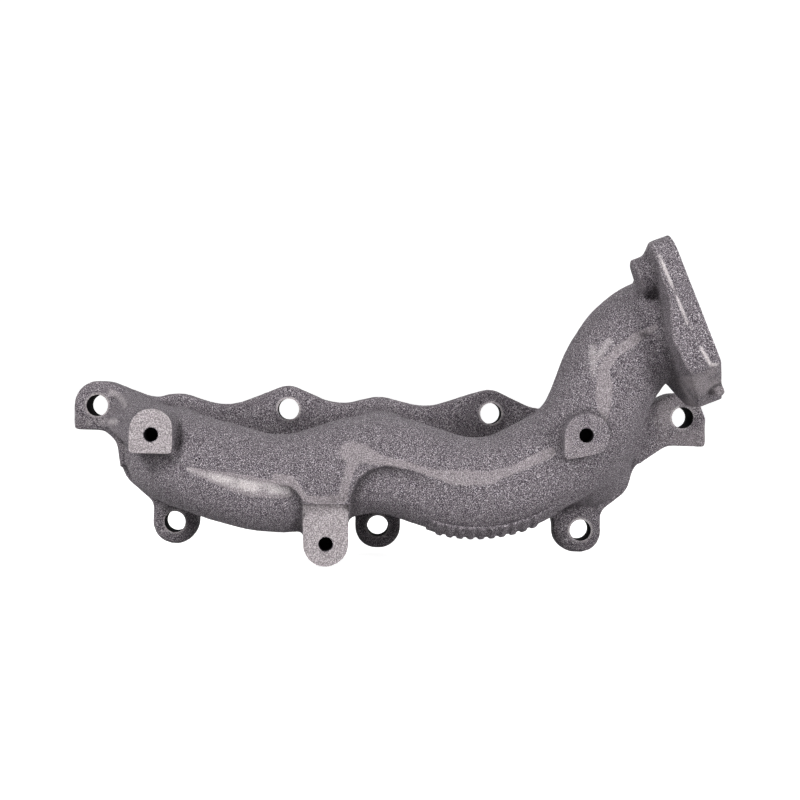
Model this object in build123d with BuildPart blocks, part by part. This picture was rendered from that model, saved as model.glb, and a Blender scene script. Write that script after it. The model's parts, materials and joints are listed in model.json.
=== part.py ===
"""Cast-iron exhaust manifold for a three-port engine bank, modelled as its named cast features.

Frame: the origin is the centre of the middle port on the port flange's machined face. +X runs along the
engine towards the outlet, +Y points into the cylinder head, and +Z is up. Lengths are in millimetres.
The casting is one rigid piece. Its features are separate solids that meet face to face.
"""

from build123d import *
import math
import os

os.makedirs("parts", exist_ok=True)

# Port flange
port_pitch = 106.0
port_r = 18.0
plate_t = 12.0
bolt_hole_r = 5.5
upper_bolt_x = [-147.0, -48.0, 58.0, 157.0]
upper_bolt_z = 23.0
upper_lug_half = 15.0
lower_bolt_z = -37.0
lower_lug_r = 11.7
lower_lug_top = -25.0
lower_lug_t = 14.0
end_lug_t = 20.0
end_lug_start = [-134.0, 135.0]
port_x = [-port_pitch, 0.0, port_pitch]

# Gas log, runners and elbow
log_y = -58.0
tube_r = 24.0
wall = 5.0
bore_r = tube_r - wall
runner_r = 23.0
outlet_tube_r = 26.0
outlet_bore_r = 21.0

# Outlet flange
outlet_rise = 22.6
outlet_centre = (148.0, log_y, 72.5)
outlet_run = 26.0
stud_circle_r = 36.0
stud_hole_r = 4.5
stud_hole_depth = 11.0
stud_first_angle = 130.0
stud_boss_r = 8.5
stud_boss_back = 19.0
flange_reach = 60.0

# Tapped features
tap_r = 3.4
shield_face_y = {"left": -85.0, "right": -89.0}
shield_hole = {"left": (-109.7, 10.8), "right": (96.7, 14.9)}
shield_tap_depth = {"left": 12.0, "right": 10.0}
shield_column = 30.0
tab_face_y = -75.0
tab_t = 16.0
tab_hole_depth = 13.0

# Rib pad under the log
pad_height = 1.0
rib_height = 2.0
rib_pitch = 5.2
rib_width = 2.6
rib_count = 10

rise = math.radians(outlet_rise)
outlet_normal = (math.cos(rise), 0, math.sin(rise))
outlet_plane = Plane(origin=outlet_centre, x_dir=(0, 1, 0), z_dir=outlet_normal)
outlet_side = Plane(origin=outlet_centre, x_dir=outlet_normal, z_dir=(0, -1, 0))

# The log's centre line: corner points and the bend radius at each
outlet_bend = (
    outlet_centre[0] - outlet_run * math.cos(rise),
    log_y,
    outlet_centre[2] - outlet_run * math.sin(rise),
)
corner = {
    "left_port": ((-port_pitch, log_y, 0.0), 26.0),
    "left_sag": ((-48.0, log_y, -15.5), 60.0),
    "centre_crest": ((-3.0, log_y, 0.5), 55.0),
    "right_sag": ((51.0, log_y, -16.5), 50.0),
    "elbow": ((99.0, log_y, 10.0), 42.0),
    "upsweep": ((112.5, log_y, 45.0), 70.0),
    "outlet": (outlet_bend, 32.0),
}


def between(first, second, fraction):
    """A point on the straight run between two corners, where two log pieces meet."""
    start = Vector(*corner[first][0])
    end = Vector(*corner[second][0])
    return tuple(start + (end - start) * fraction)


split_left = between("left_port", "left_sag", 0.52)
split_centre = between("left_sag", "centre_crest", 0.50)
split_right = between("centre_crest", "right_sag", 0.47)
split_elbow = between("right_sag", "elbow", 0.55)
split_upsweep = between("elbow", "upsweep", 0.60)


def tube(start, corners, end, radius, end_radius=None):
    """A solid round bar along straight runs joined by tangent arcs, tapered when end_radius is given."""
    points = [start] + [corner[name][0] for name in corners] + [end]
    bends = [corner[name][1] for name in corners]
    with BuildPart() as bar:
        with BuildLine() as route:
            FilletPolyline(*points, radius=bends)
        with BuildSketch(Plane(origin=route.line @ 0, z_dir=route.line % 0)):
            Circle(radius)
        if end_radius:
            with BuildSketch(Plane(origin=route.line @ 1, z_dir=route.line % 1)):
                Circle(end_radius)
            sweep(path=route.line, multisection=True)
        else:
            sweep(path=route.line)
    return bar.part


def straight_runner(x, radius):
    """A solid bar straight out of a port to the log's centre line."""
    with BuildPart() as bar:
        with BuildSketch(Plane(origin=(x, -plate_t, 0), z_dir=(0, -1, 0))):
            Circle(radius)
        extrude(amount=-plate_t - log_y)
    return bar.part


def leaning_runner(radius):
    """The right-hand runner, which leans up and inwards to meet the elbow."""
    with BuildPart() as bar:
        with BuildLine() as route:
            FilletPolyline(
                (port_pitch, -plate_t, 0),
                (port_pitch, -30.0, 0),
                (97.0, log_y, 11.0),
                radius=26,
            )
        with BuildSketch(Plane(origin=route.line @ 0, z_dir=route.line % 0)):
            Circle(radius)
        sweep(path=route.line)
    return bar.part


def facing_out(y):
    """An upright plane at the given depth that faces away from the engine."""
    return Plane(origin=(0, y, 0), x_dir=(1, 0, 0), z_dir=(0, -1, 0))


def blind_hole(y, x, z, radius, depth):
    """The round space of a hole drilled towards the engine from the given face."""
    with BuildPart() as hole:
        with BuildSketch(facing_out(y)):
            with Locations((x, z)):
                Circle(radius)
        extrude(amount=-depth)
    return hole.part


def save(name, piece):
    piece.part.label = name
    export_step(piece.part, f"parts/{name}.step")


# Outer bars and gas passages of every tube
left_port_start = (-port_pitch, -plate_t, 0.0)
tube_runs = {
    "port_elbow_left": (left_port_start, ["left_port"], split_left),
    "log_left": (split_left, ["left_sag"], split_centre),
    "log_centre": (split_centre, ["centre_crest"], split_right),
    "log_right": (split_right, ["right_sag"], split_elbow),
    "outlet_elbow_lower": (split_elbow, ["elbow"], split_upsweep),
}
outer = {name: tube(*run, tube_r) for name, run in tube_runs.items()}
passage = {name: tube(*run, bore_r) for name, run in tube_runs.items()}
passage["port_elbow_left"] = tube(*tube_runs["port_elbow_left"], port_r, bore_r)
outer["port_elbow_left"] = tube(*tube_runs["port_elbow_left"], runner_r, tube_r)
upper_run = (split_upsweep, ["upsweep", "outlet"], outlet_centre)
outer["outlet_elbow_upper"] = tube(*upper_run, tube_r, outlet_tube_r)
passage["outlet_elbow_upper"] = tube(*upper_run, bore_r, outlet_bore_r)
centre_bar = straight_runner(0.0, runner_r)
centre_bore = straight_runner(0.0, port_r)
right_bar = leaning_runner(runner_r)
right_bore = leaning_runner(port_r)
shield_tap = {
    side: blind_hole(shield_face_y[side], *shield_hole[side], tap_r, shield_tap_depth[side])
    for side in ("left", "right")
}


# Port flange: the scalloped outline of the plate, with the end lugs' flat undersides
end_x = [-158.8, 169.0]
end_floor_z = [10.4, 8.3]
lug_top_z = upper_bolt_z + 12.5
crest_z = 30.8
lower_web_z = -19.0
lower_lug_z = lower_bolt_z - lower_lug_r
right_lug_x = [port_pitch - lower_lug_r - 2.0, port_pitch + lower_lug_r - 1.0]
plate_corners = [
    # (x, z, rounding) clockwise from the left end's lower corner
    (end_x[0], end_floor_z[0], 1.0),
    (end_x[0], lug_top_z, 12.0),
    (-142.0, lug_top_z, 9.0),
    (-119.0, 27.0, 18.0),
    (-port_pitch, crest_z, 22.0),
    (-81.0, 23.0, 26.0),
    (upper_bolt_x[1], 36.2, 12.0),
    (-23.0, 25.5, 26.0),
    (0.0, crest_z, 22.0),
    (24.0, 25.0, 26.0),
    (upper_bolt_x[2], 36.2, 12.0),
    (82.0, 24.5, 26.0),
    (port_pitch, crest_z, 22.0),
    (131.0, 26.0, 18.0),
    (152.0, lug_top_z, 9.0),
    (end_x[1], lug_top_z, 12.0),
    (end_x[1], end_floor_z[1], 1.0),
    (149.0, end_floor_z[1], 8.0),
    (133.5, -2.5, 12.0),
    (130.2, -16.2, 14.0),
    (right_lug_x[1], -27.0, 5.0),
    (right_lug_x[1], lower_lug_z, lower_lug_r - 0.2),
    (right_lug_x[0], lower_lug_z, lower_lug_r - 0.2),
    (right_lug_x[0], -31.0, 5.0),
    (80.0, -22.0, 12.0),
    (26.0, lower_web_z, 14.0),
    (lower_lug_r, -26.5, 5.0),
    (lower_lug_r, lower_lug_z, lower_lug_r - 0.2),
    (-lower_lug_r, lower_lug_z, lower_lug_r - 0.2),
    (-lower_lug_r, -26.5, 5.0),
    (-26.0, lower_web_z, 14.0),
    (-80.0, lower_web_z, 14.0),
    (-port_pitch + lower_lug_r, -26.5, 5.0),
    (-port_pitch + lower_lug_r, lower_lug_z, lower_lug_r - 0.2),
    (-port_pitch - lower_lug_r, lower_lug_z, lower_lug_r - 0.2),
    (-port_pitch - lower_lug_r, -27.0, 5.0),
    (-133.6, -14.0, 14.0),
    (-136.4, 4.0, 9.0),
    (-143.0, end_floor_z[0], 5.0),
]


def plate_solid(thickness):
    """The port flange's outline, extruded outboard from the machined face, with its bolt holes."""
    with BuildPart() as plate:
        with BuildSketch(facing_out(0)):
            with BuildLine():
                corners = [(x, z) for x, z, rounding in plate_corners]
                roundings = [rounding for x, z, rounding in plate_corners]
                FilletPolyline(*corners, radius=roundings, close=True)
            make_face()
            with Locations(*[(x, upper_bolt_z) for x in upper_bolt_x]):
                Circle(bolt_hole_r, mode=Mode.SUBTRACT)
            with Locations(*[(x, lower_bolt_z) for x in port_x]):
                Circle(bolt_hole_r, mode=Mode.SUBTRACT)
            with Locations(*[(x, 0) for x in port_x]):
                Circle(port_r, mode=Mode.SUBTRACT)
        extrude(amount=thickness)
    return plate.part


def window(x_low, x_high, z_low, z_high, depth):
    """A block of space outboard of the machined face, used to cut one feature out of the plate."""
    with BuildPart() as block:
        with BuildSketch(facing_out(0)):
            with Locations(((x_low + x_high) / 2, (z_low + z_high) / 2)):
                Rectangle(x_high - x_low, z_high - z_low)
        extrude(amount=depth)
    return block.part


far = 250.0
plate = plate_solid(plate_t)
thick_plate = plate_solid(end_lug_t)
side_names = ["left", "centre", "right"]

# Upper lugs take the plate's whole height, and the three port sections lie between them
lug_edges = [
    (-far, end_lug_start[0]),
    (upper_bolt_x[1] - upper_lug_half, upper_bolt_x[1] + upper_lug_half),
    (upper_bolt_x[2] - upper_lug_half, upper_bolt_x[2] + upper_lug_half),
    (end_lug_start[1], far),
]
for number, (x_low, x_high) in enumerate(lug_edges, start=1):
    is_end = number in (1, len(lug_edges))
    with BuildPart() as upper_lug:
        add(thick_plate if is_end else plate)
        add(window(x_low, x_high, -far, far, end_lug_t), mode=Mode.INTERSECT)
    save(f"upper_bolt_lug_{number}", upper_lug)

for index, side in enumerate(side_names):
    x_low = lug_edges[index][1]
    x_high = lug_edges[index + 1][0]
    with BuildPart() as flange_section:
        add(plate)
        add(window(x_low, x_high, lower_lug_top, far, plate_t), mode=Mode.INTERSECT)
    save(f"port_flange_{side}", flange_section)

    with BuildPart() as lower_lug:
        add(plate)
        add(window(x_low, x_high, -far, lower_lug_top, plate_t), mode=Mode.INTERSECT)
        with BuildSketch(facing_out(-plate_t)):
            with Locations((port_x[index], lower_bolt_z)):
                Circle(lower_lug_r - 1.2)
                Circle(bolt_hole_r, mode=Mode.SUBTRACT)
        extrude(amount=lower_lug_t - plate_t)
    save(f"lower_bolt_lug_{side}", lower_lug)


# Tubes: each log piece is its bar, opened by its own passage and by the runner that joins it
side_spaces = {
    "port_elbow_left": [shield_tap["left"]],
    "log_left": [],
    "log_centre": [centre_bore],
    "log_right": [],
    "outlet_elbow_lower": [right_bore, shield_tap["right"]],
}
for name, spaces in side_spaces.items():
    with BuildPart() as log_piece:
        add(outer[name])
        add(passage[name], mode=Mode.SUBTRACT)
        for space in spaces:
            add(space, mode=Mode.SUBTRACT)
    save(name, log_piece)

with BuildPart() as runner_centre:
    add(centre_bar)
    add(centre_bore, mode=Mode.SUBTRACT)
    add(outer["log_centre"], mode=Mode.SUBTRACT)
save("runner_centre", runner_centre)

with BuildPart() as runner_right:
    add(right_bar)
    add(right_bore, mode=Mode.SUBTRACT)
    for name in ("log_right", "outlet_elbow_lower", "outlet_elbow_upper"):
        add(outer[name], mode=Mode.SUBTRACT)
save("runner_right", runner_right)


# Outlet flange: a plate of varying thickness, thinnest at the upper stud and thickest beside the bore
with BuildPart() as flange_blank:
    with BuildSketch(outlet_plane):
        with BuildLine():
            FilletPolyline(
                (-42, 43),
                (-42, -23),
                (-14, -42.3),
                (14, -42.3),
                (47, -12),
                (47, 22),
                radius=[9, 3, 12, 16, 14, 14],
                close=True,
            )
        make_face()
    extrude(amount=-18)
    with BuildSketch(outlet_side):
        with BuildLine():
            Polyline(
                (0, 46),
                (0, -46),
                (-11.3, -46),
                (-15.9, -21),
                (-17.5, -6),
                (-12, 12),
                (-10, 46),
                close=True,
            )
        make_face()
    extrude(amount=flange_reach, both=True, mode=Mode.INTERSECT)

with BuildPart() as outlet_bore:
    with BuildSketch(outlet_plane):
        Circle(outlet_bore_r)
    extrude(amount=-18)

with BuildPart() as stud_holes:
    with BuildSketch(outlet_plane):
        with PolarLocations(stud_circle_r, 3, start_angle=stud_first_angle):
            Circle(stud_hole_r)
    extrude(amount=-stud_hole_depth)

with BuildPart() as outlet_flange:
    add(flange_blank.part)
    add(outlet_bore.part, mode=Mode.SUBTRACT)
    add(stud_holes.part, mode=Mode.SUBTRACT)
save("outlet_flange", outlet_flange)

with BuildPart() as outlet_stud_bosses:
    with BuildSketch(outlet_plane.offset(-stud_boss_back)):
        with PolarLocations(stud_circle_r, 2, stud_first_angle, -120, endpoint=True):
            Circle(stud_boss_r)
    extrude(amount=stud_boss_back - 5)
    add(flange_blank.part, mode=Mode.SUBTRACT)
    add(stud_holes.part, mode=Mode.SUBTRACT)
save("outlet_stud_bosses", outlet_stud_bosses)

with BuildPart() as outlet_elbow_upper:
    add(outer["outlet_elbow_upper"])
    add(flange_blank.part, mode=Mode.SUBTRACT)
    add(outlet_bore.part, mode=Mode.SUBTRACT)
    add(passage["outlet_elbow_upper"], mode=Mode.SUBTRACT)
save("outlet_elbow_upper", outlet_elbow_upper)


# Heat-shield bosses: short columns in front of the tubes, each with a blind tapped hole
tubes_behind = [outer["port_elbow_left"], outer["log_right"], outer["outlet_elbow_lower"]]
shield_outline = {
    "left": ([(-120.0, 2.0), (-99.6, 2.0), (-99.6, 23.0), (-120.0, 23.0)], [1.2, 1.2, 9.8, 9.8]),
    "right": ([(86.6, 3.0), (86.6, 25.2), (107.8, 25.2), (107.8, 8.0)], [2.0, 10.4, 10.4, 7.0]),
}
for side in ("left", "right"):
    corners, roundings = shield_outline[side]
    with BuildPart() as shield_boss:
        with BuildSketch(facing_out(shield_face_y[side])):
            with BuildLine():
                FilletPolyline(*corners, radius=roundings, close=True)
            make_face()
        extrude(amount=-shield_column)
        for neighbour in tubes_behind:
            add(neighbour, mode=Mode.SUBTRACT)
        add(shield_tap[side], mode=Mode.SUBTRACT)
    save(f"shield_boss_{side}", shield_boss)
    if side == "left":
        shield_boss_left = shield_boss.part

with BuildPart() as bracket_tab:
    with BuildSketch(facing_out(tab_face_y)):
        with BuildLine():
            FilletPolyline(
                (-36.8, -22.0),
                (-36.4, -51.4),
                (-15.0, -51.4),
                (-15.4, -22.0),
                radius=[0.5, 10.4, 10.4, 0.5],
                close=True,
            )
        make_face()
    extrude(amount=-tab_t)
    add(blind_hole(tab_face_y, -25.7, -40.6, tap_r, tab_hole_depth), mode=Mode.SUBTRACT)
    add(outer["log_left"], mode=Mode.SUBTRACT)
    add(outer["log_centre"], mode=Mode.SUBTRACT)
save("bracket_tab", bracket_tab)


# End gussets: webs that slope from the end lugs up to the runners
with BuildPart() as end_gusset_left:
    with BuildSketch(Plane.XY.offset(5.0)):
        with BuildLine():
            Polyline(
                (end_lug_start[0], -plate_t),
                (end_lug_start[0], -end_lug_t),
                (-119.0, -60.0),
                (-108.0, -60.0),
                (-108.0, -plate_t),
                close=True,
            )
        make_face()
    extrude(amount=16)
    add(outer["port_elbow_left"], mode=Mode.SUBTRACT)
    add(shield_boss_left, mode=Mode.SUBTRACT)
save("end_gusset_left", end_gusset_left)

with BuildPart() as end_gusset_right:
    with BuildSketch(Plane.XY.offset(2.0)):
        with BuildLine():
            Polyline(
                (end_lug_start[1], -plate_t),
                (end_lug_start[1], -end_lug_t),
                (122.0, -42.0),
                (112.0, -42.0),
                (112.0, -plate_t),
                close=True,
            )
        make_face()
    extrude(amount=20)
    add(right_bar, mode=Mode.SUBTRACT)
    add(outer["outlet_elbow_lower"], mode=Mode.SUBTRACT)
save("end_gusset_right", end_gusset_right)


# Rib pad: a thin raised band under the right-hand sag of the log, crossed by plain ribs
pad_start = between("centre_crest", "right_sag", 0.62)
pad_end = between("right_sag", "elbow", 0.50)


def under_band(height):
    """A band of the given height on the log's underside, along the right-hand sag."""
    with BuildPart() as band:
        with BuildLine() as route:
            FilletPolyline(pad_start, corner["right_sag"][0], pad_end, radius=[corner["right_sag"][1]])
        with BuildSketch(Plane(origin=route.line @ 0, x_dir=(0, 1, 0), z_dir=route.line % 0)):
            Circle(tube_r + height)
            Circle(tube_r, mode=Mode.SUBTRACT)
            with BuildLine():
                Polyline((0, 0), (40, -46), (-40, -46), close=True)
            make_face(mode=Mode.INTERSECT)
        sweep(path=route.line)
    return band.part


pad_middle_x = (pad_start[0] + pad_end[0]) / 2
with BuildPart() as ribs:
    add(under_band(rib_height))
    with BuildSketch(Plane.XY.offset(-60.0)):
        with Locations((pad_middle_x, log_y)):
            with GridLocations(rib_pitch, 1, rib_count, 1):
                Rectangle(rib_width, 60)
    extrude(amount=60, mode=Mode.INTERSECT)

with BuildPart() as underside_rib_pad:
    add(under_band(pad_height))
    add(ribs.part)
save("underside_rib_pad", underside_rib_pad)
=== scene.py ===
# %% [markdown]
# # A cast-iron exhaust manifold
# The real object is one grey-iron casting: a scalloped port flange, three short runners, a gas log that
# wanders up and down between them, and an upswept elbow with a three-stud outlet flange.
# It is built here as a foundry would make it. First comes a rough casting with soft corners, then the
# marks of the mould and the grinder, then the milled faces, and the drilled holes come last.

import json
import math

import bmesh
import bpy
import numpy as np
from mathutils import Matrix, Vector, kdtree


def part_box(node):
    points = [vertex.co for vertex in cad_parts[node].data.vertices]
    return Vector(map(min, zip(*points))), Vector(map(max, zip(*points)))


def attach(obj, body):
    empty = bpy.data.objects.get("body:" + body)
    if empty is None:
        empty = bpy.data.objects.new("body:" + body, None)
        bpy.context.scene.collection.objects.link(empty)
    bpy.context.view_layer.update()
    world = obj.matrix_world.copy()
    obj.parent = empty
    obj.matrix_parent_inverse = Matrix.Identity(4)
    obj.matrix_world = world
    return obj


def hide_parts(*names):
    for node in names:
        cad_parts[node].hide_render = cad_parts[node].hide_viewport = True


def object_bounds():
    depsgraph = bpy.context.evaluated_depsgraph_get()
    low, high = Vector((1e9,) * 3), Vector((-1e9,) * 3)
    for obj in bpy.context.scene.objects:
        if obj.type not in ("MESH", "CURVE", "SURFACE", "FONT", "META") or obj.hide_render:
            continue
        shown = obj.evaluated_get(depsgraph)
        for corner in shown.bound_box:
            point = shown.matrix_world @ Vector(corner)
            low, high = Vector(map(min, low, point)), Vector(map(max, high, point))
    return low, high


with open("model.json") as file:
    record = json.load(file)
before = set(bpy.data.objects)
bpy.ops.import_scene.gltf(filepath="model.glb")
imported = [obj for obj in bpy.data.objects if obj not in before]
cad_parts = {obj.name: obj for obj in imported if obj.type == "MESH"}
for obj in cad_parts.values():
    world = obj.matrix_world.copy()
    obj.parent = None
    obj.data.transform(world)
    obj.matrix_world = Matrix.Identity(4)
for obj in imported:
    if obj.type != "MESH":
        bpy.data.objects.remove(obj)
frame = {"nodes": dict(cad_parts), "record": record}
cad_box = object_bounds()
nodes = frame["nodes"]
mounts = {mount["name"]: mount for mount in frame["record"]["mounts"]}
MM = 0.001
voxel = 0.85 * MM
print("features in the model:", len(nodes), "and mounts:", len(mounts))

# %% [markdown]
# ## Places
# Every position comes from the engineering model. A mount gives the centre of a port, a bolt hole or a
# tapped hole, and a feature's box gives the planes where it meets its neighbours. Only the centre line of
# the gas passage is written out, because a hollow tube doesn't say where its middle runs.

# %% Read the holes and planes
along_engine = Vector((1, 0, 0))
into_head = Vector((0, 1, 0))
upward = Vector((0, 0, 1))


def mount_place(name):
    return Vector(mounts[name]["pos_m"])


def inline_holes(name):
    """The hole centres of a two-hole pattern that runs along the engine."""
    half = mounts[name]["dims"]["spacing_x_mm"] * MM / 2
    return [mount_place(name) + along_engine * half * side for side in (-1, 1)]


port_centres = [mount_place(name) for name in ("port_left", "port_centre", "port_right")]
port_radius = mounts["port_centre"]["dims"]["r_mm"] * MM
bolt_radius = mounts["head_bolt_lower_centre"]["dims"]["r_mm"] * MM
bolt_centres = inline_holes("head_bolts_upper_inner") + inline_holes("head_bolts_upper_end")
bolt_centres += inline_holes("head_bolts_lower_end") + [mount_place("head_bolt_lower_centre")]
outlet_centre = mount_place("outlet_studs")
outlet_normal = Vector(mounts["outlet_face"]["axis"]).normalized()
outlet_up = into_head.cross(outlet_normal) * -1
outlet_radius = mounts["outlet_bore"]["dims"]["r_mm"] * MM
stud_radius = mounts["outlet_studs"]["dims"]["hole_r_mm"] * MM
stud_circle = mounts["outlet_studs"]["dims"]["pcd_mm"] * MM / 2
first_stud = 130
stud_angles = [math.radians(first_stud - 120 * number) for number in range(3)]
stud_centres = [
    outlet_centre + (into_head * math.cos(angle) + outlet_up * math.sin(angle)) * stud_circle
    for angle in stud_angles
]
tap_names = ["shield_tap_left", "shield_tap_right", "bracket_tap"]
tap_radius = mounts["bracket_tap"]["dims"]["r_mm"] * MM
boss_face = {side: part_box(f"shield_boss_{side}")[0].y for side in ("left", "right")}
tab_low, tab_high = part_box("bracket_tab")
print("bolt holes:", len(bolt_centres), "outlet rises along", [round(v, 3) for v in outlet_up])

# %% Centre line of the log
bore_radius = 19 * MM
log_y = -58


def at(x, y, z):
    """A point given in millimetres."""
    return Vector((x, y, z)) * MM


log_corners = [
    # where two straight runs would meet, and the radius of the bend that joins them
    (at(-106, log_y, 0), 26 * MM),
    (at(-48, log_y, -15.5), 60 * MM),
    (at(-3, log_y, 0.5), 55 * MM),
    (at(51, log_y, -16.5), 50 * MM),
    (at(99, log_y, 10), 42 * MM),
    (at(112.5, log_y, 45), 70 * MM),
    (outlet_centre - outlet_normal * 26 * MM, 32 * MM),
]


def route(start, corners, end, arc_steps=9):
    """Points along straight runs joined by tangent arcs."""
    points = [start]
    ends = [start] + [corner for corner, bend in corners] + [end]
    for index, (corner, bend) in enumerate(corners, start=1):
        arriving = (ends[index] - ends[index - 1]).normalized()
        leaving = (ends[index + 1] - ends[index]).normalized()
        turn = arriving.angle(leaving)
        reach = bend * math.tan(turn / 2)
        first = corner - arriving * reach
        middle = first + (leaving - arriving * arriving.dot(leaving)).normalized() * bend
        for step in range(arc_steps + 1):
            spin = Matrix.Rotation(turn * step / arc_steps, 3, arriving.cross(leaving))
            points.append(middle + spin @ (first - middle))
    points.append(end)
    return points


def between(first, fraction):
    """A point on the straight run after a corner, and the direction of that run."""
    start = log_corners[first][0]
    run = log_corners[first + 1][0] - start
    return start + run * fraction, run.normalized()


log_line = route(between(0, 0.42)[0], log_corners[1:], outlet_centre)
left_line = route(at(-106, 4, 0), log_corners[:1], between(0, 0.62)[0])
meetings = {
    # where each feature starts on the centre line
    "log_left": between(0, 0.52),
    "log_centre": between(1, 0.50),
    "log_right": between(2, 0.47),
    "outlet_elbow_lower": between(3, 0.55),
    "outlet_elbow_upper": between(4, 0.60),
}
print("log centre line points:", len(log_line))

# %% [markdown]
# ## Rough casting
# A casting has no joints, so its features have to flow into each other. Copies of the engineering
# features are gathered into one mesh, their holes are plugged, and a voxel remesh gives the heap one skin.
# A sheet of skin over closed plugs has no inside, so the core's hollow fills up as well, and it is
# bored out again later.

# %% Gather the features
def new_piece(name, bm):
    """An object in the scene made from a finished bmesh."""
    mesh = bpy.data.meshes.new(name)
    bm.to_mesh(mesh)
    bm.free()
    piece = bpy.data.objects.new(name, mesh)
    bpy.context.scene.collection.objects.link(piece)
    return piece


def add_copy(bm, node, shift=Vector((0, 0, 0))):
    """Adds a copy of a feature's mesh, moved by the given amount, with its loose triangles merged."""
    before = set(bm.verts)
    bm.from_mesh(nodes[node].data)
    added = [vertex for vertex in bm.verts if vertex not in before]
    bmesh.ops.remove_doubles(bm, verts=added, dist=1e-6)
    kept = [vertex for vertex in bm.verts if vertex not in before]
    bmesh.ops.translate(bm, verts=kept, vec=shift)


def add_rod(bm, start, end, radius, segments=48):
    """A closed round rod between two points."""
    run = end - start
    turn = run.to_track_quat("Z", "Y").to_matrix().to_4x4()
    place = Matrix.Translation((start + end) / 2) @ turn
    bmesh.ops.create_cone(
        bm,
        cap_ends=True,
        segments=segments,
        radius1=radius,
        radius2=radius,
        depth=run.length,
        matrix=place,
    )


def add_hull(bm, points):
    """The convex block round a few corner points, which are in millimetres."""
    corners = [bmesh.ops.create_vert(bm, co=at(*point))["vert"][0] for point in points]
    bmesh.ops.convex_hull(bm, input=corners)


sides = ("left", "centre", "right")
plate_nodes = [f"port_flange_{side}" for side in sides] + [f"lower_bolt_lug_{side}" for side in sides]
plate_nodes += [f"upper_bolt_lug_{number}" for number in range(1, 5)]
tube_nodes = ["port_elbow_left", "runner_centre", "runner_right", "log_left", "log_centre", "log_right"]
tube_nodes += ["outlet_elbow_lower", "outlet_elbow_upper"]
machining = 2.5 * MM


def add_body(bm):
    """The plate and the tubes, with metal left on the head face and every port and bolt hole plugged.

    A plug is a few tenths of a millimetre wider than its hole, so that the two run into each other.
    """
    for node in plate_nodes:
        add_copy(bm, node)
        add_copy(bm, node, into_head * machining)
    for node in tube_nodes:
        add_copy(bm, node)
    for centre in port_centres:
        inner = centre - into_head * 24 * MM
        add_rod(bm, inner, centre + into_head * machining, port_radius + 0.5 * MM)
    for centre in bolt_centres:
        inner = centre - into_head * 7.5 * MM
        add_rod(bm, inner, centre + into_head * 8 * MM, bolt_radius + 0.4 * MM)
    inner = outlet_centre - outlet_normal * 10 * MM
    add_rod(bm, inner, outlet_centre - outlet_normal * 6 * MM, outlet_radius + 0.6 * MM)
    for name in tap_names[:2]:
        middle = mount_place(name)
        add_rod(bm, middle - into_head * 5 * MM, middle + into_head * 9 * MM, tap_radius + 0.3 * MM)


def add_details(bm):
    """The outlet flange, its stud bosses and the shield bosses, with metal left on their faces."""
    for node in ("outlet_flange", "outlet_stud_bosses"):
        add_copy(bm, node)
    add_copy(bm, "outlet_flange", outlet_normal * machining)
    inner = outlet_centre - outlet_normal * 10 * MM
    outer = outlet_normal * machining
    add_rod(bm, inner, outlet_centre + outer, outlet_radius + 0.6 * MM)
    for centre in stud_centres:
        add_rod(bm, centre - outlet_normal * 12 * MM, centre + outer, stud_radius + 0.3 * MM)
    for side in ("left", "right"):
        node = f"shield_boss_{side}"
        add_copy(bm, node)
        add_copy(bm, node, into_head * -machining)
        middle = mount_place(f"shield_tap_{side}")
        add_rod(bm, middle - into_head * 8 * MM, middle + into_head * 6 * MM, tap_radius + 0.3 * MM)


heap = bmesh.new()
add_body(heap)
print("corners in the heap:", len(heap.verts))

# %% Webs, tab and crest
left_web = [
    (-144, -12, 13), (-143.5, -19.5, 13.2), (-133, -12, 31.5), (-133, -19.5, 31.2), (-119.8, -76, 3.5),
    (-119.8, -76, 22.3), (-108, -50, 3), (-108, -50, 22), (-112, -12, 24), (-120, -12, 4),
]
right_web = [
    (136, -19.5, 3), (140, -19.5, 30), (122, -40, 1), (120, -42, 22), (112, -12, 2), (112, -12, 27),
]
tab_front, tab_back = -78.5, -59
tab_block = [(x, y, z) for x in (-36.6, -15.2) for y in (tab_back, tab_front) for z in (-20, -40.8)]
tab_round = [at(-25.9, tab_front, -40.6), at(-25.9, tab_back, -40.6), 10.7 * MM]
plateau = [
    (-37.0, -76.5, -21.5), (-15.5, -76.5, -21.5), (-34.0, -81.0, -9), (-17.5, -81.4, -9), (-12.5, -82.2, 4),
    (-6.0, -82.4, 8), (-36.0, -60, -21.5), (-15.5, -60, -21.5), (-8.0, -60, 6), (-30.0, -60, 0),
]


def add_extras(bm):
    """The two end webs, and the flat ground between the tab and the crest of the log."""
    for corners in (left_web, right_web, plateau):
        add_hull(bm, corners)


def add_tab(bm):
    """The bracket tab, a block with a round lower end."""
    add_hull(bm, tab_block)
    add_rod(bm, *tab_round, segments=40)


add_extras(heap)
casting = new_piece("casting", heap)
print("rough casting, longest side in mm:", round(casting.dimensions.x / MM, 1))

# %% [markdown]
# ## Soft inside corners
# Molten iron can't fill a sharp inside corner, so a pattern maker rounds each one. Growing the skin
# outwards closes the corners, and shrinking it back by the same distance leaves a fillet there, while the
# open faces return to where they were. It is done in small steps with a fresh skin after each one.

# %% Grow and shrink
def settle(piece):
    """Applies the piece's modifiers to its mesh."""
    depsgraph = bpy.context.evaluated_depsgraph_get()
    depsgraph.update()
    fresh = bpy.data.meshes.new_from_object(piece.evaluated_get(depsgraph))
    old = piece.data
    piece.modifiers.clear()
    piece.data = fresh
    bpy.data.meshes.remove(old)


def reskin(piece, size):
    skin = piece.modifiers.new("skin", "REMESH")
    skin.mode = "VOXEL"
    skin.voxel_size = size
    settle(piece)


def read_vectors(items, field):
    """One row of three numbers for each item of a mesh."""
    flat = np.empty(len(items) * 3)
    items.foreach_get(field, flat)
    return flat.reshape(-1, 3)


def read_points(mesh):
    return read_vectors(mesh.vertices, "co")


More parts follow.
